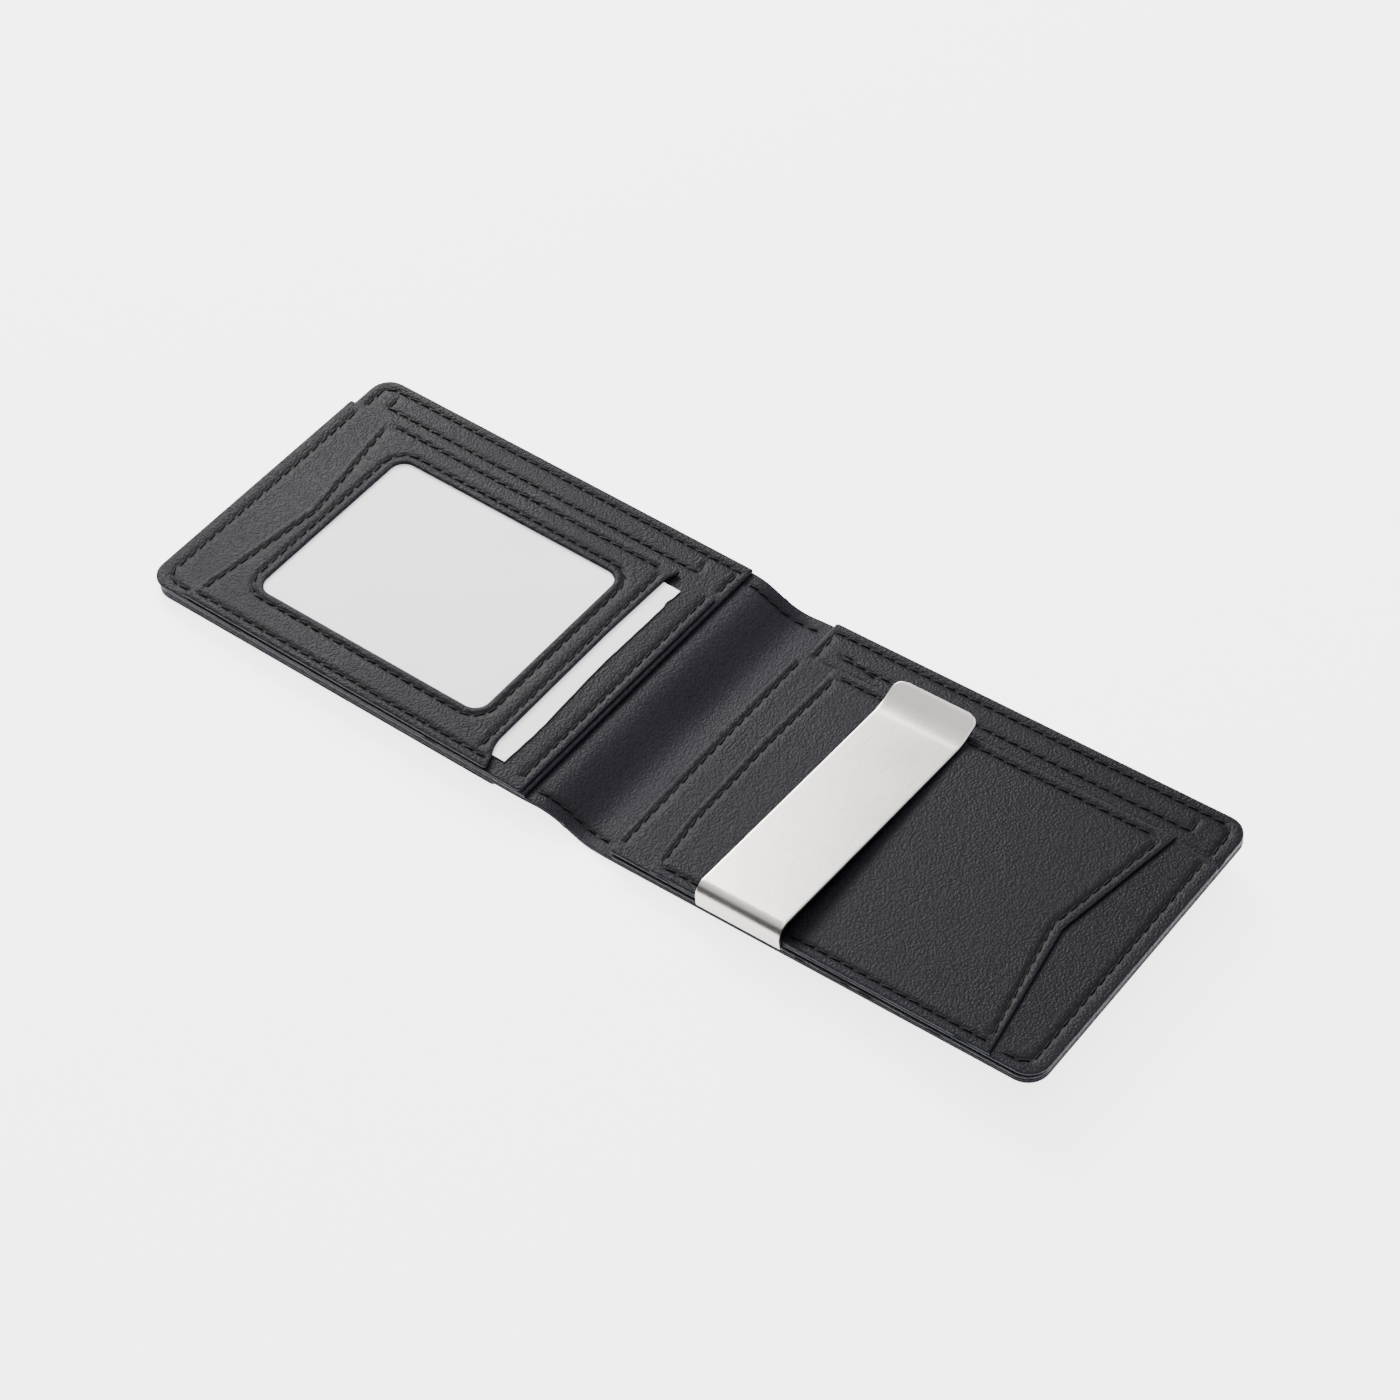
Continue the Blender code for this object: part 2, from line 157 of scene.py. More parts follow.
# Lights: name, place and aim (m), size (m), power (W), colour
LIGHTS = (("key", (-0.75, 0.50, 0.62), (-0.08, 0.0, 0.0), (0.5, 0.5), 17.0, (1.0, 0.985, 0.965)),
          ("top", (0.1, 0.2, 1.6), (0.0, 0.0, 0.0), (1.4, 1.4), 9.0, (1.0, 0.99, 0.98)))
SKY_WAY = (-0.36, 0.48, 1.0)
SKY_DIM = (0.52, (0.08, 0.08, 0.08))
SKY_BRIGHT = (0.80, (0.93, 0.95, 1.0))
SKY_STRENGTH = 1.25
FLOOR_HALF = 3.0
FLOOR_GAP = 0.0002
FLOOR_GLOW = 3.8

# Colours: (dark, light) of each pattern
LEATHER_TONES = ((0.0072, 0.0070, 0.0108), (0.0100, 0.0097, 0.0148))
LINING_TONES = ((0.0125, 0.0120, 0.0180), (0.0168, 0.0162, 0.0240))
# Colour of the painted highlight on rolled edges
EDGE_HIGHLIGHT_TONE = (0.0165, 0.0168, 0.0230)
STEEL_TONES = ((0.47, 0.447, 0.42), (0.55, 0.527, 0.50))
PAPER_TONES = ((0.90, 0.90, 0.905), (0.94, 0.94, 0.95))
# Painted light on the paper: colour and strength of its glow
PAPER_GLOW = ((0.98, 0.975, 1.0), 0.8)
BOARD_TONES = ((0.24, 0.22, 0.19), (0.36, 0.34, 0.30))


# ---------------------------------------------------------------- panel frames

def mount(name):
    found = [m for m in frame["record"]["mounts"] if m["name"] == name][0]
    return Vector(found["pos_m"]), -Vector(found["axis"])


def joint(name):
    return [j for j in frame["record"]["behaviour"]["joints"] if j["name"] == name][0]


def panel_frame(mount_name, mount_x):
    """Origin at the panel's front corner, with its x direction and its up direction."""
    place, up = mount(mount_name)
    along = Vector((up.z, 0.0, -up.x))
    origin = place - along * mount_x * MM - Vector((0.0, DEPTH / 2, 0.0)) * MM
    return origin, along, up


LEFT = panel_frame("left_rest", LEFT_MOUNT_X)
RIGHT = panel_frame("right_rest", RIGHT_MOUNT_X)


def in_panel(panel, points):
    """World points, in metres, of an (n, 3) array of panel x, y, h."""
    origin, along, up = (np.array(v) for v in panel)
    points = np.asarray(points, dtype=float) * MM
    return origin + points[:, :1] * along + points[:, 1:2] * np.array((0, 1, 0)) + points[:, 2:] * up


def spine_underside(x):
    """Height (mm) of the shell's underside at world x, from the left panel to the table."""
    origin, along, _ = LEFT
    slope = along.z / along.x
    start = LEFT_SHELL[0] + slope * (SPINE_START_X - origin.x / MM)
    t = np.clip((x - SPINE_START_X) / (SPINE_FLAT_X - SPINE_START_X), 0.0, 1.0)
    down = start * (1.0 - t * t * (3.0 - 2.0 * t))
    level = LEFT_SHELL[0] + slope * (x - origin.x / MM)
    return np.where(x < SPINE_START_X, level, down)


def left_and_spine(points):
    """Like in_panel for the left panel, but it follows the spine's curve past the fold."""
    world = in_panel(LEFT, points)
    x = world[:, 0] / MM
    past = x > SPINE_START_X
    rise = np.asarray(points)[:, 2] - LEFT_SHELL[0]
    world[past, 2] = (spine_underside(x[past]) + rise[past]) * MM
    world[:, 1] *= waist(x)
    return world


def right_and_spine(points):
    """Like in_panel for the right panel, but flat on the table before the fold."""
    world = in_panel(RIGHT, points)
    x = world[:, 0] / MM
    before = x < RIGHT[0].x / MM
    rise = np.asarray(points)[:, 2]
    world[before, 2] = (spine_underside(x[before]) + rise[before]) * MM
    world[:, 1] *= waist(x)
    return world


def waist(x):
    """The spine is drawn in a little at its middle."""
    middle = SPINE_CUT_X
    return 1.0 - SPINE_NARROW / (DEPTH / 2) * np.exp(-((x - middle) / 7.0) ** 2)


# ---------------------------------------------------------------- outlines

def rounded(corners, steps=8):
    """A closed outline from (x, y, radius) corners, each corner turned into an arc."""
    outline = []
    count = len(corners)
    for i, (x, y, radius) in enumerate(corners):
        here = Vector((x, y))
        if radius == 0:
            outline.append((x, y))
            continue
        before = (Vector(corners[i - 1][:2]) - here).normalized()
        after = (Vector(corners[(i + 1) % count][:2]) - here).normalized()
        half = before.angle(after) / 2
        reach = radius / math.tan(half)
        centre = here + (before + after).normalized() * (radius / math.sin(half))
        start = here + before * reach - centre
        turn = start.angle_signed(here + after * reach - centre)
        for step in range(steps + 1):
            angle = -turn * step / steps
            across = Vector((-start.y, start.x))
            point = centre + start * math.cos(angle) + across * math.sin(angle)
            outline.append((point.x, point.y))
    return outline


def rectangle(x0, x1, y0, y1, radius):
    return rounded([(x0, y0, radius), (x1, y0, radius), (x1, y1, radius), (x0, y1, radius)])


def divided(loop, step):
    """The closed loop with points no further apart than step."""
    points = []
    for (x0, y0), (x1, y1) in zip(loop, loop[1:] + loop[:1]):
        count = max(1, math.ceil(math.hypot(x1 - x0, y1 - y0) / step))
        points += [(x0 + (x1 - x0) * i / count, y0 + (y1 - y0) * i / count) for i in range(count)]
    return points


def area(loop):
    return sum(x0 * y1 - x1 * y0 for (x0, y0), (x1, y1) in zip(loop, loop[1:] + loop[:1])) / 2


def moved_in(loop, distance):
    """A closed loop moved to the left of its direction."""
    points = np.array(loop)
    ahead = np.roll(points, -1, axis=0) - points
    ahead /= np.linalg.norm(ahead, axis=1)[:, None]
    behind = np.roll(ahead, 1, axis=0)
    normal = np.stack((-(ahead + behind)[:, 1], (ahead + behind)[:, 0]), axis=1)
    normal /= np.linalg.norm(normal, axis=1)[:, None]
    cosine = np.clip((normal * np.stack((-ahead[:, 1], ahead[:, 0]), axis=1)).sum(axis=1), 0.5, 1.0)
    return points + normal * (distance / cosine)[:, None]


def distance_to(points, lines):
    """The distance from each point to the nearest of some open lines."""
    nearest = np.full(len(points), 1e9)
    for line in lines:
        ends = np.array(line)
        for a, b in zip(ends[:-1], ends[1:]):
            way = b - a
            t = np.clip(((points - a) @ way) / (way @ way), 0.0, 1.0)
            nearest = np.minimum(nearest, np.linalg.norm(points - a - t[:, None] * way, axis=1))
    return nearest


def inside(points, loops):
    """Whether each point is inside the loops, by the even-odd rule."""
    odd = np.zeros(len(points), dtype=bool)
    for loop in loops:
        ends = np.array(loop)
        for (x0, y0), (x1, y1) in zip(ends, np.roll(ends, -1, axis=0)):
            crosses = (y0 > points[:, 1]) != (y1 > points[:, 1])
            if y0 != y1:
                odd ^= crosses & (points[:, 0] < (x1 - x0) * (points[:, 1] - y0) / (y1 - y0) + x0)
    return odd


# ---------------------------------------------------------------- seams

def walk(line, closed=False):
    """Evenly spaced stitches along a line: (middle, direction) for each."""
    ends = [Vector(p) for p in (line + line[:1] if closed else line)]
    lengths = [(b - a).length for a, b in zip(ends, ends[1:])]
    total = sum(lengths)
    count = max(1, round((total + (0 if closed else PITCH - STITCH)) / PITCH))
    pitch = total / count if closed else (total + PITCH - STITCH) / count
    stitches = []
    for i in range(count):
        at = i * pitch + (pitch if closed else STITCH) / 2
        for a, b, length in zip(ends, ends[1:], lengths):
            if at <= length or (b - ends[-1]).length == 0:
                way = (b - a).normalized()
                stitches.append((a + way * at, way))
                break
            at -= length
    return stitches


# ---------------------------------------------------------------- meshes

def link_mesh(name, points, faces, materials, sharp=50):
    mesh = bpy.data.meshes.new(name)
    mesh.from_pydata([tuple(p) for p in points], [], faces)
    for material in materials:
        mesh.materials.append(material)
    mesh.shade_smooth()
    mesh.set_sharp_from_angle(angle=math.radians(sharp))
    mesh.update()
    item = bpy.data.objects.new(name, mesh)
    bpy.context.collection.objects.link(item)
    return item


def ripple(x, y):
    """Slow unevenness of a hand-worked hide, between -1 and 1."""
    return (np.sin(x * 0.11 + 1.3) * np.cos(y * 0.09 + 0.4) + 0.6 * np.sin(x * 0.23 + y * 0.17)
            + 0.4 * np.sin(y * 0.31 - x * 0.07 + 2.0)) / 2.0


def bell(distance, width):
    return np.exp(-(distance / width) ** 2)


def leather_sheet(name, loops, layer, place, material, seams=(), edge=0.3, puff=0.0, grid=1.3,
                  raised=None, bends=False, butt=None):
    """A leather layer with rolled edges, and with the stitched lines pulled down into it.

    loops: the outline, then any holes.  puff: how far the hide swells up between seams.
    raised: (y, height), a doubled hem from y to the back edge with a higher surface.
    bends: the underside is meshed as finely as the top, with the same seams pulled in.
    butt: the x where the sheet meets its other half, an edge that isn't rolled.
    """
    low, high = layer
    outlines = []
    for i, loop in enumerate(loops):
        turned = loop if (area(loop) > 0) == (i == 0) else loop[::-1]
        outlines.append(divided(turned, OUTLINE_STEP))
    verts = []
    edges = []
    for loop in outlines:
        first = len(verts)
        verts += loop
        edges += [(first + i, first + (i + 1) % len(loop)) for i in range(len(loop))]
    rim = len(verts)
    extra = [np.zeros((0, 2))]
    for loop in outlines:
        extra += [moved_in(loop, radii * edge) for radii in EDGE_ROWS]
    closed_outlines = [loop + loop[:1] for loop in outlines]
    xs, ys = zip(*outlines[0])
    gx, gy = np.meshgrid(np.arange(min(xs), max(xs), grid), np.arange(min(ys), max(ys), grid))
    cells = np.stack((gx.ravel(), gy.ravel()), axis=1)
    seam_points = []
    for line in seams:
        for centre, way in walk(line):
            side = Vector((-way.y, way.x))
            for shift in (-STITCH / 2, 0.0, STITCH / 2):
                for off in SEAM_ROWS:
                    seam_points.append(tuple(centre + way * shift + side * off))
    if seam_points:
        cells = cells[distance_to(cells, seams) > SEAM_CLEAR]
        cells = np.vstack((cells, np.array(seam_points)))
    cells = cells[inside(cells, outlines)]
    cells = cells[distance_to(cells, closed_outlines) > EDGE_CLEAR * edge]
    rings = np.vstack(extra)
    free = np.vstack((rings[inside(rings, outlines)], cells))
    flat = [Vector(v) for v in verts] + [Vector(v) for v in free]
    out, _, tris, _, _, _ = delaunay_2d_cdt(flat, edges, [], 0, 1e-5)
    plan = np.array([tuple(v) for v in out])
    tris = np.array([tuple(t) for t in tris])
    tris = tris[inside(plan[tris].mean(axis=1), outlines)]

    open_edges = closed_outlines
    if butt is not None:
        open_edges = [[p for p in outlines[0] if abs(p[0] - butt) > 0.01]]
    to_edge = distance_to(plan, open_edges)
    roll = np.clip(to_edge / edge, 0.0, 1.0)
    curl = edge * (1.0 - np.sqrt(1.0 - (1.0 - roll) ** 2))
    top = high - curl
    if raised:
        step = np.clip((plan[:, 1] - raised[0]) / HEM_STEP, 0.0, 1.0)
        top += (raised[1] - high) * step * step * (3 - 2 * step)
    # Mask of flatter, pressed grain with painted shade beside the seams
    press_and_shade = np.zeros(len(plan))
    # Mask of the painted highlight along the rolled edges
    edge_highlight = np.clip(1.0 - to_edge / EDGE_HIGHLIGHT_WIDTH, 0.0, 1.0)
    top += RIDGE[0] * bell(to_edge - RIDGE_FROM_EDGE, RIDGE[1])
    under = np.full(len(plan), low)
    if seams:
        to_seam = distance_to(plan, seams)
        top -= GROOVE[0] * bell(to_seam, GROOVE[1])
        holes = np.array([tuple(c + w * s) for line in seams for c, w in walk(line)
                          for s in (-STITCH / 2 - HOLE_REACH, STITCH / 2 + HOLE_REACH)])
        near = np.min(np.linalg.norm(plan[:, None, :] - holes[None, :, :], axis=2), axis=1)
        top -= HOLE[0] * bell(near, HOLE[1])
        top += RIDGE[0] * bell(to_seam - RIDGE_FROM_SEAM, RIDGE[1]) * np.clip(to_edge - edge, 0, 1)
        # Beside the seams: flatter grain, and painted shade in the stitch grooves
        press_and_shade = bell(to_seam, PRESS_SHADE_WIDTH)
        under += UNDER_GROOVE[0] * bell(to_seam, UNDER_GROOVE[1])
        swell = 1.0 - np.exp(-to_seam / SWELL_WIDTH)
    else:
        swell = 1.0 - np.exp(-to_edge / SWELL_WIDTH)
    top += puff * swell * (0.75 + 0.25 * ripple(plan[:, 0], plan[:, 1]))
    top = np.maximum(top, low + THINNEST)

    count = len(plan)
    upper = place(np.column_stack((plan, top)))
    if bends:
        under += curl
        lower = place(np.column_stack((plan, np.minimum(under, top - THINNEST))))
        base_tris = tris
        # Painted shade on the side walls, fully dark at their lower edge
        below = np.where(np.arange(count) < rim, 1.0, press_and_shade)
        values = {"press_and_shade": np.concatenate((press_and_shade, below)),
                  "edge_highlight": np.concatenate((edge_highlight, np.zeros(count)))}
    else:
        lower = place(np.column_stack((plan[:rim], np.full(rim, low))))
        base, _, base_tris, _, _, _ = delaunay_2d_cdt([Vector(v) for v in verts], edges, [], 0, 1e-5)
        base_plan = np.array([tuple(v) for v in base])
        base_tris = np.array([tuple(t) for t in base_tris])
        base_tris = base_tris[inside(base_plan[base_tris].mean(axis=1), outlines)]
        # Painted shade on the side walls, fully dark at their lower edge, and no painted highlight below
        values = {"press_and_shade": np.concatenate((press_and_shade, np.ones(rim))),
                  "edge_highlight": np.concatenate((edge_highlight, np.zeros(rim)))}
    faces = [tuple(t) for t in tris]
    faces += [(count + b, count + a, a, b) for a, b in edges]
    faces += [tuple(count + v for v in t[::-1]) for t in base_tris]
    item = link_mesh(name, np.vstack((upper, lower)), faces, [material])
    for attribute, amount in values.items():
        item.data.attributes.new(attribute, "FLOAT", "POINT").data.foreach_set("value", amount)
    return item


def tie(item, body):
    """Ride on one body; where body is an over_fold tuple, stay baked in place on no body."""
    if isinstance(body, tuple):
        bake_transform(item)
    else:
        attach(item, body)


def capsule(points, faces, start, across, up, along, length, radius):
    """Append one stitch: a round bar whose ends dive into the leather."""
    sides, stations = 7, 7
    first = len(points)
    for i in range(stations):
        t = -1.0 + 2.0 * i / (stations - 1)
        size = radius * math.sqrt(max(1.0 - abs(t) ** 3.0, 0.0)) + 0.02 * MM
        sink = -0.55 * radius * abs(t) ** 3.0
        centre = start + along * (t * length / 2) + up * sink
        for k in range(sides):
            angle = 2 * math.pi * k / sides
            points.append(centre + across * (math.cos(angle) * size) + up * (math.sin(angle) * size))
    for i in range(stations - 1):
        for k in range(sides):
            a = first + i * sides + k
            b = first + i * sides + (k + 1) % sides
            faces.append((a, b, b + sides, a + sides))
    faces.append(tuple(first + k for k in range(sides))[::-1])
    faces.append(tuple(first + (stations - 1) * sides + k for k in range(sides)))


def stitches(name, line, height, place, material, body, node=None, closed=False, seed=1):
    """One run of stitches on a surface of the given height (mm)."""
    rng = np.random.default_rng(seed)
    points = []
    faces = []
    for centre, way in walk(line, closed):
        slant = STITCH_SLANT + rng.normal(0.0, 0.03)
        way = Vector((way.x - way.y * slant, way.y + way.x * slant)).normalized()
        sample = place(np.array(((centre.x - way.x, centre.y - way.y, height),
                                 (centre.x + way.x, centre.y + way.y, height),
                                 (centre.x, centre.y, height), (centre.x, centre.y, height + 1.0))))
        along = Vector(sample[1] - sample[0]).normalized()
        up = Vector(sample[3] - sample[2]).normalized()
        across = along.cross(up).normalized()
        up = across.cross(along)
        start = Vector(sample[2]) + up * rng.normal(0.0, 0.015) * MM
        radius = THREAD * MM * (1.0 + rng.normal(0.0, 0.04))
        capsule(points, faces, start, across, up, along, STITCH * MM * 1.04, radius)
    item = link_mesh(name, points, faces, [material], sharp=60)
    tie(item, body)
    if node:
        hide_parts(node)


# ---------------------------------------------------------------- materials

def new_material(name):
    material = bpy.data.materials.new(name)
    material.use_nodes = True
    tree = material.node_tree
    return material, tree, tree.nodes["Principled BSDF"]


def add(tree, kind, **values):
    """A node with its inputs set by name, and its own properties by name in lower case."""
    node = tree.nodes.new(kind)
    for key, value in values.items():
        if key in node.inputs:
            node.inputs[key].default_value = value
        else:
            setattr(node, key, value)
    return node


def texture(tree, kind, where=None, **values):
    """A texture node in object space, or in the given space."""
    node = add(tree, kind, **values)
    if where is None:
        where = tree.nodes.new("ShaderNodeTexCoord").outputs["Object"]
    tree.links.new(where, node.inputs["Vector"])
    return node


def relief(tree, shader, height, distance, strength=1.0):
    """Bump the shader by a height."""
    bump = add(tree, "ShaderNodeBump", Distance=distance, Strength=strength)
    tree.links.new(height, bump.inputs["Height"])
    tree.links.new(bump.outputs["Normal"], shader.inputs["Normal"])
    return bump


def ramp(tree, source, stops):
    """A source turned into colours by (position, colour) stops."""
    node = tree.nodes.new("ShaderNodeValToRGB")
    while len(node.color_ramp.elements) < len(stops):
        node.color_ramp.elements.new(0.5)
    for element, (position, colour) in zip(node.color_ramp.elements, stops):
        element.position = position
        element.color = (*colour, 1.0) if len(colour) == 3 else colour
    tree.links.new(source, node.inputs["Fac"])
    return node.outputs["Color"]


def grey(value):
    return (value, value, value)


def leather_material(name, dark, light, grain, rough):
    """Pebbled hide: small rounded cells, with flatter grain and a painted shade beside stitches and on
    side walls, and a painted highlight on rolled edges.
    """
    material, tree, shader = new_material(name)
    link = tree.links.new
    # Mask of pressed grain and painted shade, beside seams and on side walls
    press_and_shade = add(tree, "ShaderNodeAttribute", attribute_name="press_and_shade").outputs["Fac"]
    # Mask of the painted highlight on rolled edges
    edge_highlight = add(tree, "ShaderNodeAttribute", attribute_name="edge_highlight").outputs["Fac"]
    cells = texture(tree, "ShaderNodeTexVoronoi", Scale=grain, feature="SMOOTH_F1", Smoothness=0.35)
    fine = texture(tree, "ShaderNodeTexNoise", Scale=grain * 1.3, Detail=2.0, Roughness=0.5)
    blotch = texture(tree, "ShaderNodeTexNoise", Scale=38.0, Detail=2.0, Roughness=0.4)
    pebbles = ramp(tree, cells.outputs["Distance"], ((0.05, grey(1.0)), (0.75, grey(0.0))))
    mixed = add(tree, "ShaderNodeMix", data_type="RGBA")
    mixed.inputs["Factor"].default_value = 0.4
    link(pebbles, mixed.inputs["A"])
    link(fine.outputs["Fac"], mixed.inputs["B"])
    strength = add(tree, "ShaderNodeMapRange", **{"From Min": 0.0, "From Max": 1.0,
                                                  "To Min": 0.9, "To Max": 0.4})
    link(press_and_shade, strength.inputs["Value"])
    bump = relief(tree, shader, mixed.outputs["Result"], 0.00016)
    link(strength.outputs[0], bump.inputs["Strength"])
    tone = ramp(tree, blotch.outputs["Fac"], ((0.3, dark), (0.7, light)))
    valley = ramp(tree, mixed.outputs["Result"], ((0.15, grey(0.45)), (0.6, grey(1.0))))
    shade = add(tree, "ShaderNodeMix", data_type="RGBA", blend_type="MULTIPLY")
    shade.inputs["Factor"].default_value = 0.9
    link(tone, shade.inputs["A"])
    link(valley, shade.inputs["B"])
    # Painted shade: darker beside stitches and on side walls
    painted_shade_mix = add(tree, "ShaderNodeMix", data_type="RGBA", blend_type="MULTIPLY")
    link(press_and_shade, painted_shade_mix.inputs["Factor"])
    link(shade.outputs["Result"], painted_shade_mix.inputs["A"])
    painted_shade_mix.inputs["B"].default_value = (*grey(0.40), 1.0)
    # Painted highlight: lighter rolled edges
    highlighted = add(tree, "ShaderNodeMix", data_type="RGBA")
    link(edge_highlight, highlighted.inputs["Factor"])
    link(painted_shade_mix.outputs["Result"], highlighted.inputs["A"])
    highlighted.inputs["B"].default_value = (*EDGE_HIGHLIGHT_TONE, 1.0)
    link(highlighted.outputs["Result"], shader.inputs["Base Color"])
    gloss = add(tree, "ShaderNodeMapRange", **{"From Min": 0.3, "From Max": 0.75,
                                               "To Min": rough - 0.03, "To Max": rough + 0.04})
    link(blotch.outputs["Fac"], gloss.inputs["Value"])
    link(gloss.outputs[0], shader.inputs["Roughness"])
    shader.inputs["Specular IOR Level"].default_value = 0.10
    return material


def steel_material():
    """Satin steel brushed along the clip, with finger marks in its gloss."""
    material, tree, shader = new_material("brushed_steel")
    link = tree.links.new
    stretch = texture(tree, "ShaderNodeMapping", Scale=(5200.0, 60.0, 2500.0))
    brush = texture(tree, "ShaderNodeTexNoise", stretch.outputs[0], Scale=1.0, Detail=4.0,
                    Roughness=0.7)
    smear = texture(tree, "ShaderNodeTexNoise", Scale=110.0, Detail=3.0)
    both = add(tree, "ShaderNodeMath", operation="MULTIPLY_ADD")
    both.inputs[1].default_value = 0.5
    link(brush.outputs["Fac"], both.inputs[0])
    link(smear.outputs["Fac"], both.inputs[2])
    gloss = add(tree, "ShaderNodeMapRange", **{"From Min": 0.5, "From Max": 1.0,
                                               "To Min": 0.25, "To Max": 0.31})
    link(both.outputs[0], gloss.inputs["Value"])
    link(gloss.outputs[0], shader.inputs["Roughness"])
    tone = ramp(tree, brush.outputs["Fac"], ((0.25, STEEL_TONES[0]), (0.75, STEEL_TONES[1])))
    link(tone, shader.inputs["Base Color"])
    relief(tree, shader, brush.outputs["Fac"], 0.00002, 0.35)
    shader.inputs["Metallic"].default_value = 1.0
    return material


def thread_material():
    """Waxed twisted thread: dark, with a fine slanted twist."""
    material, tree, shader = new_material("waxed_thread")
    twist = texture(tree, "ShaderNodeTexWave", Scale=1500.0, Distortion=1.5,
                    bands_direction="DIAGONAL")
    tone = ramp(tree, twist.outputs["Fac"], ((0.0, grey(0.0025)), (1.0, grey(0.008))))
    tree.links.new(tone, shader.inputs["Base Color"])
    relief(tree, shader, twist.outputs["Fac"], 0.00005, 0.6)
    shader.inputs["Roughness"].default_value = 0.5
    shader.inputs["Specular IOR Level"].default_value = 0.15
    return material


def paper_material():
    """White card with fine fibres, lifted a little to bright white by a painted glow (emission)."""
    material, tree, shader = new_material("white_paper")
    fibre = texture(tree, "ShaderNodeTexNoise", Scale=2600.0, Detail=4.0, Roughness=0.7)
    cloud = texture(tree, "ShaderNodeTexNoise", Scale=45.0, Detail=3.0)
    tone = ramp(tree, cloud.outputs["Fac"], ((0.3, PAPER_TONES[0]), (0.7, PAPER_TONES[1])))
    tree.links.new(tone, shader.inputs["Base Color"])
    relief(tree, shader, fibre.outputs["Fac"], 0.00003, 0.4)
    shader.inputs["Roughness"].default_value = 0.75
    # Painted light: the card glows a little
    shader.inputs["Emission Color"].default_value = (*PAPER_GLOW[0], 1.0)
    shader.inputs["Emission Strength"].default_value = PAPER_GLOW[1]
    return material


def film_material():
    """Clear soft film with slow waves, so that it glints unevenly."""
    material, tree, shader = new_material("clear_film")
    wave = texture(tree, "ShaderNodeTexNoise", Scale=55.0, Detail=2.0)
    relief(tree, shader, wave.outputs["Fac"], 0.0006, 0.5)
    gloss = add(tree, "ShaderNodeMapRange", **{"To Min": 0.06, "To Max": 0.2})
    tree.links.new(wave.outputs["Fac"], gloss.inputs["Value"])
    tree.links.new(gloss.outputs[0], shader.inputs["Roughness"])
    shader.inputs["Base Color"].default_value = (0.9, 0.92, 0.93, 1.0)
    shader.inputs["Alpha"].default_value = 0.16
    shader.inputs["IOR"].default_value = 1.45
    return material


def board_material():
    """Grey card stiffener, hidden between the leather layers."""
    material, tree, shader = new_material("grey_board")
    fibre = texture(tree, "ShaderNodeTexNoise", Scale=900.0, Detail=5.0, Roughness=0.7)
    tone = ramp(tree, fibre.outputs["Fac"], ((0.3, BOARD_TONES[0]), (0.7, BOARD_TONES[1])))
    tree.links.new(tone, shader.inputs["Base Color"])
    shader.inputs["Roughness"].default_value = 0.9
    return material


def floor_material():
    """Pale studio floor, bright enough to read as white."""
    material, tree, shader = new_material("pale_floor")
    cloud = texture(tree, "ShaderNodeTexNoise", Scale=3.0, Detail=2.0)
    tone = ramp(tree, cloud.outputs["Fac"], ((0.3, grey(0.90)), (0.7, grey(0.92))))
    tree.links.new(tone, shader.inputs["Base Color"])
    tree.links.new(tone, shader.inputs["Emission Color"])
    shader.inputs["Emission Strength"].default_value = FLOOR_GLOW
    shader.inputs["Roughness"].default_value = 0.9
    return material


# ---------------------------------------------------------------- left panel

def chevron(mouth, depth, middle, back):
    """A thumb cut's edge, from the front edge to the back edge of its panel."""
    return [(mouth, 0.0, 0.0), (mouth + depth, middle, 5.0), (mouth, back, 0.0)]


def place_left(points):
    return in_panel(LEFT, points)


def place_right(points):
    return in_panel(RIGHT, points)


def outside_seam(start, end):
    """The outer cover's stitched line: along the front, round the far end and back."""
    inset = SEAM_INSET
    turn = math.copysign(2.6, end - start)
    back = DEPTH - inset
    return [(start, inset), (end - turn, inset), (end - turn * 0.3, inset + 0.8), (end, inset + 2.6),
            (end, back - 2.6), (end - turn * 0.3, back - 0.8), (end - turn, back), (start, back)]


def over_fold(name, first, second, before, after):
    """The two bodies on either side of a fold, with points before and after its axis (mm)."""
    axis = Vector(joint(name)["pos_m"])
    ends = [tuple(axis + Vector((shift * MM, 0.0, 0.0))) for shift in (before, after)]
    return (first, second, *ends)


LEFT_BEND = over_fold("left_fold", "left_panel", "spine", -6.0, 5.0)
RIGHT_BEND = over_fold("right_fold", "spine", "right_panel", -5.0, 5.0)
LEFT_CUT = (SPINE_CUT_X - LEFT[0].x / MM) / LEFT[1].x
RIGHT_CUT = (SPINE_CUT_X - RIGHT[0].x / MM) / RIGHT[1].x


def finish_leather(item, body, nodes):
    """Tie the sheet to its body, or bake it in place where it spans a fold, and take the CAD nodes' place.
    """
    tie(item, body)
    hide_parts(*nodes)


def stitch_all(seams, heights, place, thread, body, seed):
    """Stitch every seam of a panel.  A tack is a knot of its own, with no CAD node."""
    for number, (name, (line, layer)) in enumerate(seams.items()):
        node = None if "tack" in name else "seam_" + name
        stitches("stitches_" + name, line, heights[layer] - THREAD_SINK, place, thread, body, node,
                 seed=seed + number)


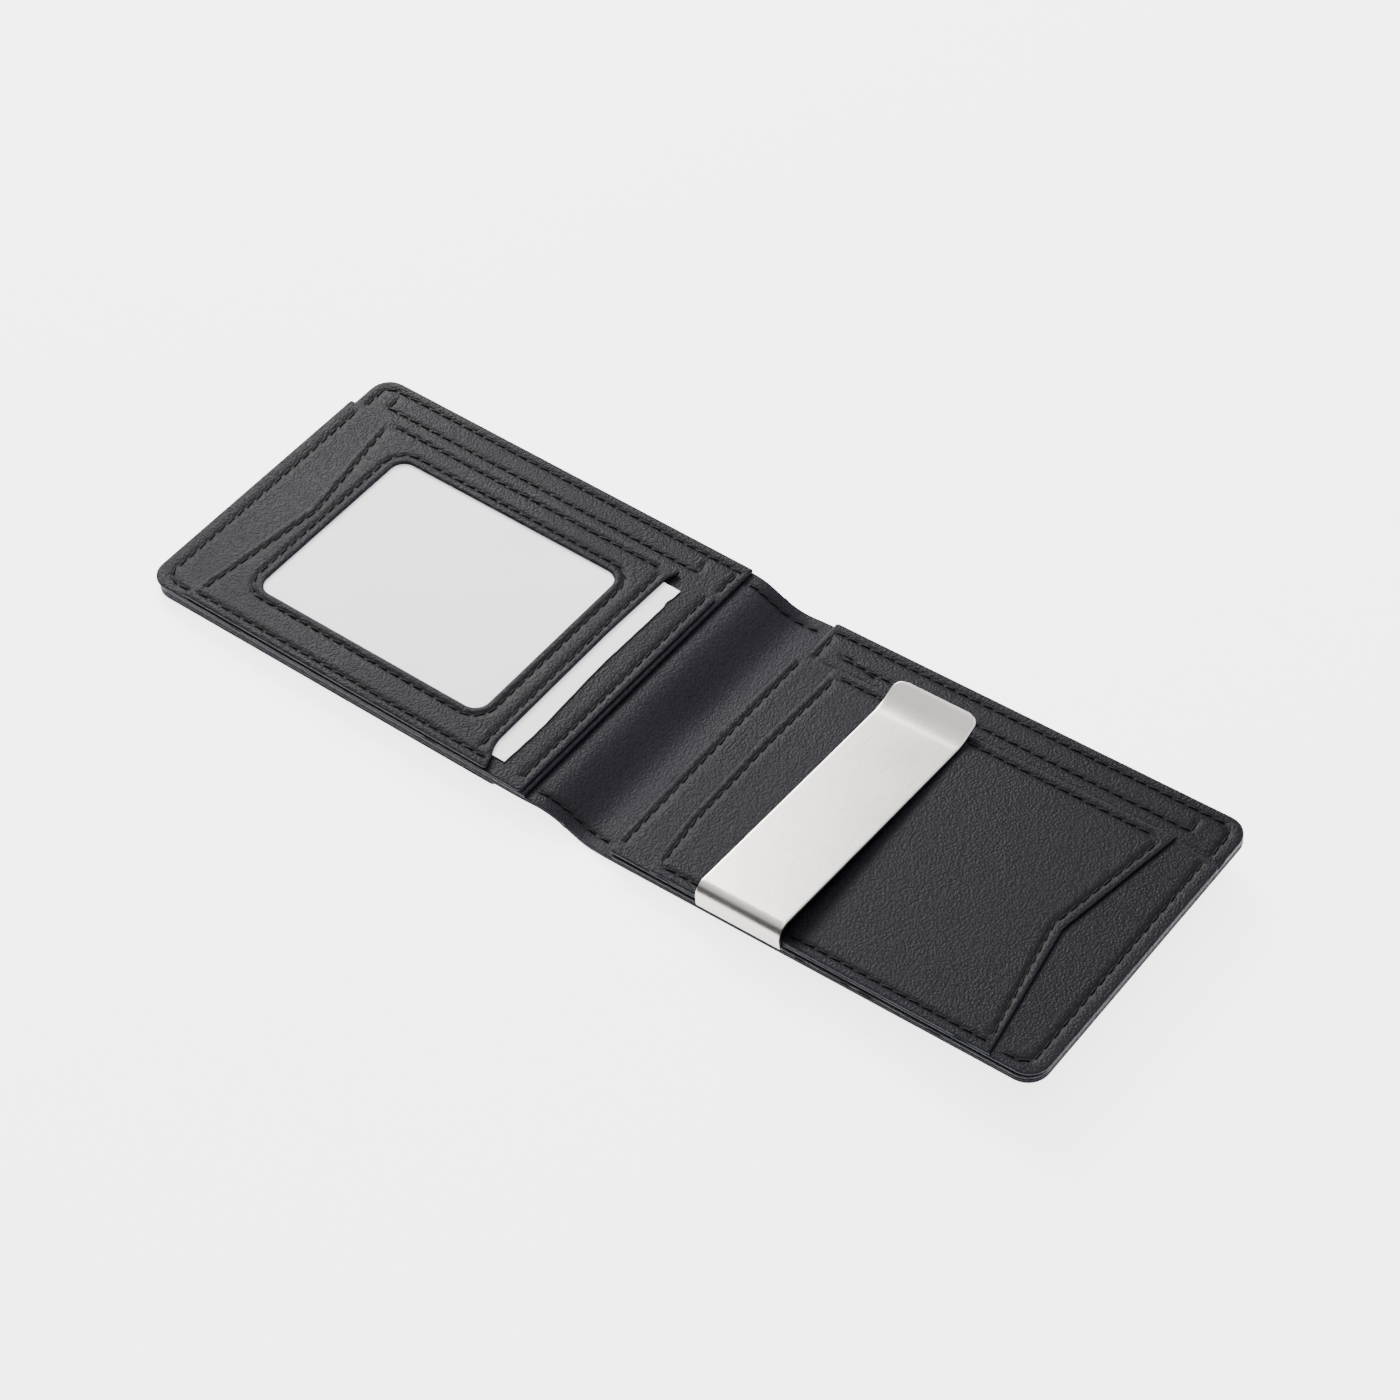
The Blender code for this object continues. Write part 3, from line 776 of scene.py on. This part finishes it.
def left_seams():
    """The left panel's stitched lines: name -> (points, the layer they lie on)."""
    back = DEPTH - SEAM_INSET
    frame_x = FRAME_EDGE - 1.8
    thumb = THUMB_MOUTH + 2.3
    return {
        "left_back": ([(103.5, back), (5.4, back), (3.6, back - 0.9), (2.8, back - 2.7),
                       (2.8, 70.2)], "base"),
        "left_strip": ([(7.5, 72.2), (95.5, 72.2)], "base"),
        "left_tack_a": ([(7.5, 75.1), (7.5, 72.6)], "base"),
        "left_tack_b": ([(95.4, 74.9), (95.5, 72.4)], "base"),
        "left_base_edge": ([(102.9, 70.3), (102.9, 76.4)], "base"),
        "left_end": ([(2.8, 66.0), (2.8, 5.2), (3.6, 3.3), (5.4, 2.4), (9.2, 2.3)], "slot"),
        "left_slot_edge": ([(102.0, 3.6), (102.0, 66.5)], "slot"),
        "left_front": ([(12.6, 2.2), (93.0, 2.2)], "frame"),
        "left_pocket_back": ([(14.2, 67.0), (88.6, 67.0)], "frame"),
        "left_thumb_cut": ([(thumb + 0.2, 4.6), (thumb + THUMB_DEPTH, THUMB_Y),
                            (thumb + 0.2, 64.6)], "frame"),
        "window_frame_edge": ([(frame_x, 4.8), (frame_x, 64.6)], "frame"),
    }


def window_seam():
    """The closed stitched line round the window."""
    reach = 2.2
    return rectangle(WINDOW[0] - reach, WINDOW[1] + reach, WINDOW[2] - reach, WINDOW[3] + reach,
                     WINDOW_CORNER + reach)


def build_left(materials):
    leather = materials["leather"]
    lining = materials["lining"]
    cut = LEFT_CUT
    ends = [(0.0, DEPTH, CORNER), (0.0, 0.0, CORNER)]
    outline = rounded([(cut, 0.0, 0.0), (cut, DEPTH, 0.0)] + ends)
    shell = leather_sheet("shell_left", [outline], LEFT_SHELL, left_and_spine, leather, edge=0.28,
                          bends=True, butt=cut)
    finish_leather(shell, LEFT_BEND, ["outer_shell_left", "outer_shell_spine"])
    spine_lines = [[(106.5, y), (cut - 0.2, y)] for y in SPINE_SEAM_Y.values()]
    inner = leather_sheet("lining_left_half", [outline], LEFT_LINING, left_and_spine, lining,
                          seams=spine_lines, edge=0.18, bends=True, butt=cut)
    finish_leather(inner, LEFT_BEND, ["lining_left", "lining_spine"])

    pocket = rounded([(QUICK_POCKET_END, 0.0, 1.5), (QUICK_POCKET_END, DEPTH, 1.5)] + ends)
    outside = outside_seam(QUICK_POCKET_END - 0.8, 2.8)
    item = leather_sheet("quick_pocket_leather", [pocket], QUICK_POCKET, place_left, leather,
                         seams=[outside], edge=0.25, bends=True)
    finish_leather(item, "left_panel", ["quick_pocket"])
    stitches("stitches_left_outside", outside, QUICK_POCKET[0] + THREAD, place_left,
             materials["thread"], "left_panel", seed=31)

    seams = left_seams()
    lines = {kind: [line for line, layer in seams.values() if layer == kind]
             for kind in ("base", "slot", "frame")}
    base = rounded([(LEFT_LENGTH, 0.0, 0.0), (LEFT_LENGTH, DEPTH, 0.6)] + ends)
    item = leather_sheet("left_base_leather", [base], LEFT_BASE, place_left, leather,
                         seams=lines["base"], edge=0.36)
    finish_leather(item, "left_panel", ["left_base_panel"])

    slot = rounded([(-SLOT_PROUD, -0.1, CORNER), (SLOT_END, 0.0, 1.2), (SLOT_END, SLOT_BACK - 0.6, 1.5),
                    (SLOT_END - 11.0, SLOT_BACK + 0.4, 0.0), (-SLOT_PROUD, SLOT_BACK, 0.6)])
    item = leather_sheet("left_slot_leather", [slot], LEFT_SLOT, place_left, leather,
                         seams=lines["slot"], edge=0.27)
    finish_leather(item, "left_panel", ["left_slot_panel"])

    flare = FRAME_EDGE + 3.0
    cut_edge = chevron(THUMB_MOUTH, THUMB_DEPTH, THUMB_Y, POCKET_BACK)
    outline = rounded([(flare, 0.0, 0.8), (FRAME_EDGE, 7.0, 9.0), (FRAME_EDGE - 0.3, 45.0, 30.0),
                       (FRAME_EDGE + 0.2, POCKET_BACK - 4.0, 5.0), (FRAME_EDGE + 1.7, POCKET_BACK, 0.8)]
                      + cut_edge[::-1])
    window = rectangle(*WINDOW, WINDOW_CORNER)
    around = window_seam()
    item = leather_sheet("window_frame_leather", [outline, window], FRAME, place_left, leather,
                         seams=lines["frame"] + [around + around[:1]], edge=0.34, puff=0.1)
    finish_leather(item, "left_panel", ["window_frame_panel"])

    heights = {"base": LEFT_BASE[1], "slot": LEFT_SLOT[1], "frame": FRAME[1]}
    stitch_all(seams, heights, place_left, materials["thread"], "left_panel", 10)
    stitches("stitches_window", around, FRAME[1] - THREAD_SINK, place_left, materials["thread"],
             "left_panel", "seam_window", closed=True, seed=30)
    build_window(materials)


def build_window(materials):
    """The clear film behind the frame and the white card in the pocket."""
    x0, x1, y0, y1 = (WINDOW[0] - 4.0, WINDOW[1] + 4.0, WINDOW[2] - 4.0, WINDOW[3] + 4.0)
    nx, ny = 36, 30
    points = []
    for level in FILM:
        for j in range(ny + 1):
            for i in range(nx + 1):
                x = x0 + (x1 - x0) * i / nx
                y = y0 + (y1 - y0) * j / ny
                points.append((x, y, level + 0.03 * math.sin(x * 0.16) * math.sin(y * 0.21 + 0.8)))
    row = nx + 1
    layer = row * (ny + 1)
    faces = []
    for j in range(ny):
        for i in range(nx):
            a = j * row + i
            faces.append((a, a + row, a + row + 1, a + 1))
            faces.append((layer + a, layer + a + 1, layer + a + row + 1, layer + a + row))
    edge = (list(range(row)) + [j * row + nx for j in range(1, ny + 1)]
            + [ny * row + i for i in range(nx - 1, -1, -1)] + [j * row for j in range(ny - 1, 0, -1)])
    for a, b in zip(edge, edge[1:] + edge[:1]):
        faces.append((a, b, layer + b, layer + a))
    film = link_mesh("window_film_sheet", place_left(points), faces, [materials["film"]], 80)
    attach(film, "left_panel")
    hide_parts("window_film")

    x0, x1, y0, y1 = INSERT_BOX
    rng = np.random.default_rng(5)
    ragged = [(x0, y1), (x0, y0)]
    steps = 64
    tear = np.cumsum(rng.normal(0.0, 0.05, steps + 1))
    tear -= np.linspace(tear[0], tear[-1], steps + 1)
    for i in range(steps + 1):
        share = i / steps
        nick = 0.5 * math.exp(-((share - 0.93) / 0.02) ** 2)
        wave = 0.25 * math.sin(share * 9.0)
        ragged.append((x1 + wave + float(tear[i]) * 0.8 - nick, y0 + (y1 - y0) * share))
    card = leather_sheet("white_insert", [ragged], INSERT, place_left, materials["paper"],
                         edge=0.05, grid=4.0)
    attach(card, "paper_insert")
    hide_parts("paper_insert")


# ---------------------------------------------------------------- right panel

def right_seams():
    """The right panel's stitched lines, like left_seams."""
    back = DEPTH - SEAM_INSET
    end = RIGHT_LENGTH - 2.9
    edge = RIGHT_FRONT_START + 2.0
    thumb = RIGHT_THUMB_MOUTH - 2.3
    return {
        "right_back": ([(7.4, back), (end - 2.7, back), (end - 0.8, back - 0.9), (end, back - 2.7),
                        (end, 69.2)], "base"),
        "right_strip": ([(13.3, 71.9), (100.5, 71.9)], "base"),
        "right_tack_a": ([(12.6, 73.1), (16.2, 72.6), (22.4, 70.9)], "base"),
        "right_tack_b": ([(100.5, 74.5), (100.5, 72.0)], "base"),
        "right_base_edge": ([(RIGHT_BASE_START + 1.9, 69.4), (RIGHT_BASE_START + 1.9, 75.6)], "base"),
        "right_end": ([(end, 65.2), (end, 5.2), (end - 0.8, 3.3), (end - 2.7, 2.4), (101.6, 2.4)], "slot"),
        "right_slot_edge": ([(RIGHT_SLOT_START + 2.6, 3.6), (RIGHT_SLOT_START + 2.2, 65.0)], "slot"),
        "right_front": ([(18.6, 2.4), (97.4, 2.4)], "front"),
        "right_pocket_back": ([(17.4, 65.7), (94.6, 65.6)], "front"),
        "right_thumb_cut": ([(thumb + 0.2, 4.8), (thumb - RIGHT_THUMB_DEPTH, RIGHT_THUMB_Y),
                             (thumb - 0.2, 63.6)], "front"),
        "right_front_edge": ([(edge + 1.5, 4.6), (edge + 0.3, 16.0), (edge, 42.0),
                              (edge + 0.6, 63.6)], "front"),
    }


def build_right(materials):
    leather = materials["leather"]
    lining = materials["lining"]
    cut = RIGHT_CUT
    ends = [(RIGHT_LENGTH, 0.0, CORNER), (RIGHT_LENGTH, DEPTH, CORNER)]
    outline = rounded([(cut, 0.0, 0.0)] + ends + [(cut, DEPTH, 0.0)])
    outside = outside_seam(7.6, RIGHT_LENGTH - 2.9)
    shell = leather_sheet("shell_right", [outline], RIGHT_SHELL, right_and_spine, leather,
                          seams=[outside], edge=0.28, bends=True, butt=cut)
    stitches("stitches_right_outside", outside, RIGHT_SHELL[0] + THREAD, place_right,
             materials["thread"], "right_panel", seed=48)
    finish_leather(shell, RIGHT_BEND, ["outer_shell_right", "outer_shell_spine"])
    spine_lines = [[(cut + 0.4, y), (2.8, y)] for y in SPINE_SEAM_Y.values()]
    level = (LEFT_LINING[0] - LEFT_SHELL[0], LEFT_LINING[1] - LEFT_SHELL[0])
    inner = leather_sheet("lining_right_half", [outline], level, right_and_spine, lining,
                          seams=spine_lines, edge=0.18, bends=True, butt=cut)
    finish_leather(inner, RIGHT_BEND, ["lining_right", "lining_spine"])

    seams = right_seams()
    lines = {kind: [line for line, layer in seams.values() if layer == kind]
             for kind in ("base", "slot", "front")}
    start = RIGHT_BASE_START
    base = rounded([(start, 0.0, 0.6)] + ends + [(start, DEPTH, 0.6)])
    item = leather_sheet("right_base_leather", [base], RIGHT_BASE, place_right, leather,
                         seams=lines["base"], edge=0.36, raised=(RIGHT_BACK + 0.4, RIGHT_HEM))
    finish_leather(item, "right_panel", ["right_base_panel"])

    start = RIGHT_SLOT_START
    slot = rounded([(start + 1.2, 0.0, 0.8), (RIGHT_LENGTH + 0.4, -0.1, CORNER),
                    (RIGHT_LENGTH + 0.4, RIGHT_BACK - 1.6, 0.6), (101.0, RIGHT_BACK, 0.0),
                    (start + 0.4, RIGHT_BACK, 1.0), (start - 0.2, 40.0, 30.0)])
    item = leather_sheet("right_slot_leather", [slot], RIGHT_SLOT, place_right, leather,
                         seams=lines["slot"], edge=0.28)
    finish_leather(item, "right_panel", ["right_slot_panel"])

    start = RIGHT_FRONT_START
    cut_edge = chevron(RIGHT_THUMB_MOUTH, -RIGHT_THUMB_DEPTH, RIGHT_THUMB_Y, RIGHT_BACK)
    front = rounded(cut_edge + [(start + 0.7, RIGHT_BACK, 0.8), (start - 0.2, 42.0, 20.0),
                                (start + 0.4, 15.0, 12.0), (start + 2.2, 0.0, 0.8)])
    item = leather_sheet("right_front_leather", [front], RIGHT_FRONT, place_right, leather,
                         seams=lines["front"], edge=0.3, puff=0.02)
    finish_leather(item, "right_panel", ["right_front_panel"])

    heights = {"base": RIGHT_HEM, "slot": RIGHT_SLOT[1], "front": RIGHT_FRONT[1]}
    stitch_all(seams, heights, place_right, materials["thread"], "right_panel", 50)


def build_spine_seams(materials):
    """Stitches along both sides of the spine, each run cut where the spine's middle is."""
    thread = materials["thread"]
    rise = LEFT_LINING[1] - LEFT_SHELL[0] - 0.03
    for number, (side, y) in enumerate(SPINE_SEAM_Y.items()):
        node = "seam_spine_" + side
        stitches("stitches_spine_left_" + side, [(106.4, y), (LEFT_CUT - 0.4, y)],
                 LEFT_SHELL[0] + rise, left_and_spine, thread, LEFT_BEND, node, seed=70 + number)
        stitches("stitches_spine_right_" + side, [(RIGHT_CUT + 0.4, y), (3.4, y)], rise,
                 right_and_spine, thread, RIGHT_BEND, node, seed=80 + number)


# ---------------------------------------------------------------- money clip

CLIP_X = (28.9, 49.9)
STEEL = 0.75
TAIL_Y = 40.0
TAIL_H = 2.6
WALL_Y = -0.85
HEEL_RADIUS = 0.9
BEND_RADIUS = 2.6
TOP_H = 8.0
ARM_BOW = 0.1
KINK = (63.5, 4.68)
KINK_REACH = 2.6
LIP = (70.3, 7.35)
LIP_CORNER = 2.6
CLIP_BEVEL = 0.16


def arc(centre, radius, start, end, steps):
    angles = [math.radians(start + (end - start) * i / steps) for i in range(steps + 1)]
    return [(centre[0] + radius * math.cos(a), centre[1] + radius * math.sin(a)) for a in angles]


def clip_line():
    """The steel's centre line (y, h): tail, heel, bend, sloping arm, kink and flared lip."""
    heel = (WALL_Y + HEEL_RADIUS, TAIL_H + HEEL_RADIUS)
    bend = (WALL_Y + BEND_RADIUS, TOP_H - BEND_RADIUS)
    line = [(TAIL_Y * (1 - i / 12) + heel[0] * i / 12, TAIL_H) for i in range(12)]
    line += arc(heel, HEEL_RADIUS, 270, 180, 7)
    line += arc(bend, BEND_RADIUS, 180, 88, 18)
    start = Vector(line[-1])
    kink = Vector(KINK)
    lip = Vector(LIP)
    before = kink + (start - kink).normalized() * KINK_REACH
    after = kink + (lip - kink).normalized() * KINK_REACH
    for i in range(1, 26):
        t = i / 26
        y = start.x + (kink.x - start.x) * t
        if y <= before.x - 0.6:
            line.append((y, start.y + (kink.y - start.y) * t - ARM_BOW * math.sin(math.pi * t)))
    for i in range(9):
        t = i / 8
        line.append(tuple(before * (1 - t) ** 2 + kink * (2 * t * (1 - t)) + after * t * t))
    for i in range(1, 11):
        line.append(tuple(after.lerp(lip, i / 10)))
    return [Vector(p) for p in line]


def build_clip(materials):
    line = clip_line()
    middle = (CLIP_X[0] + CLIP_X[1]) / 2
    half = (CLIP_X[1] - CLIP_X[0]) / 2
    travelled = [0.0]
    for a, b in zip(line, line[1:]):
        travelled.append(travelled[-1] + (b - a).length)
    points = []
    faces = []
    ring = []
    for sx, sh, first in ((1, 1, 0), (-1, 1, 90), (-1, -1, 180), (1, -1, 270)):
        corner = []
        for angle in (0, 45, 90):
            turn = math.radians(first + angle)
            corner.append((sx, sh, math.cos(turn), math.sin(turn)))
        flat = (sx, sh, -2.0 * sx, float(sh))
        ring += corner + [flat] if sx * sh > 0 else [flat] + corner
    for i, here in enumerate(line):
        ahead = (line[min(i + 1, len(line) - 1)] - line[max(i - 1, 0)]).normalized()
        normal = Vector((-ahead.y, ahead.x))
        left = travelled[-1] - travelled[i]
        wide = half
        if left < LIP_CORNER:
            wide = half - LIP_CORNER + math.sqrt(LIP_CORNER ** 2 - (LIP_CORNER - left) ** 2)
        thin = STEEL / 2 if left > 0.12 else STEEL / 2 - 0.1
        for sx, sh, c, s in ring:
            x = middle + sx * (wide - CLIP_BEVEL) + c * CLIP_BEVEL
            n = sh * (thin - CLIP_BEVEL) + s * CLIP_BEVEL
            points.append((x, here.x + normal.x * n, here.y + normal.y * n))
    size = len(ring)
    for i in range(len(line) - 1):
        for k in range(size):
            a = i * size + k
            b = i * size + (k + 1) % size
            faces.append((a, b, b + size, a + size))
    faces.append(tuple(range(size))[::-1])
    faces.append(tuple((len(line) - 1) * size + k for k in range(size)))
    clip = link_mesh("money_clip", place_right(points), faces, [materials["steel"]], 40)
    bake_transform(clip)
    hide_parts("clip_base", "clip_arm")


# ---------------------------------------------------------------- stage

def light(name, place, aim, size, power, colour):
    data = bpy.data.lights.new(name, "AREA")
    data.shape = "RECTANGLE"
    data.size, data.size_y = size
    data.energy = power
    data.color = colour
    item = bpy.data.objects.new(name, data)
    item.location = place
    item.rotation_euler = (Vector(aim) - Vector(place)).to_track_quat("-Z", "Y").to_euler()
    bpy.context.collection.objects.link(item)


def build_stage():
    half = FLOOR_HALF
    level = CAD_BOUNDS[0][2] - FLOOR_GAP
    corners = [(-half, -half, level), (half, -half, level), (half, half, level), (-half, half, level)]
    floor = link_mesh("floor", corners, [(0, 1, 2, 3)], [floor_material()])
    for lamp in LIGHTS:
        light(*lamp)
    world = bpy.data.worlds.new("studio")
    bpy.context.scene.world = world
    world.use_nodes = True
    tree = world.node_tree
    background = tree.nodes["Background"]
    where = tree.nodes.new("ShaderNodeTexCoord").outputs["Generated"]
    facing = add(tree, "ShaderNodeVectorMath", operation="DOT_PRODUCT")
    tree.links.new(where, facing.inputs[0])
    facing.inputs[1].default_value = SKY_WAY
    sky = ramp(tree, facing.outputs["Value"], (SKY_DIM, SKY_BRIGHT))
    tree.links.new(sky, background.inputs["Color"])
    background.inputs["Strength"].default_value = SKY_STRENGTH

    data = bpy.data.cameras.new("camera")
    data.lens = LENS
    data.sensor_width = SENSOR
    data.clip_start = 0.01
    camera = bpy.data.objects.new("camera", data)
    away = Vector(CAMERA_AWAY).normalized()
    camera.location = Vector(CAMERA_TARGET) + away * CAMERA_DISTANCE
    camera.rotation_euler = (-away).to_track_quat("-Z", "Y").to_euler()
    bpy.context.collection.objects.link(camera)
    bpy.context.scene.camera = camera


def build():
    materials = {
        "leather": leather_material("fine_grain_leather", *LEATHER_TONES, 1900.0, 0.42),
        "lining": leather_material("lining_leather", *LINING_TONES, 2000.0, 0.42),
        "thread": thread_material(),
        "steel": steel_material(),
        "paper": paper_material(),
        "film": film_material(),
        "board": board_material(),
    }
    build_left(materials)
    build_right(materials)
    build_spine_seams(materials)
    build_clip(materials)
    for name in ("left_board", "right_board"):
        board = frame["nodes"][name]
        board.data.materials.clear()
        board.data.materials.append(materials["board"])
    build_stage()


build()
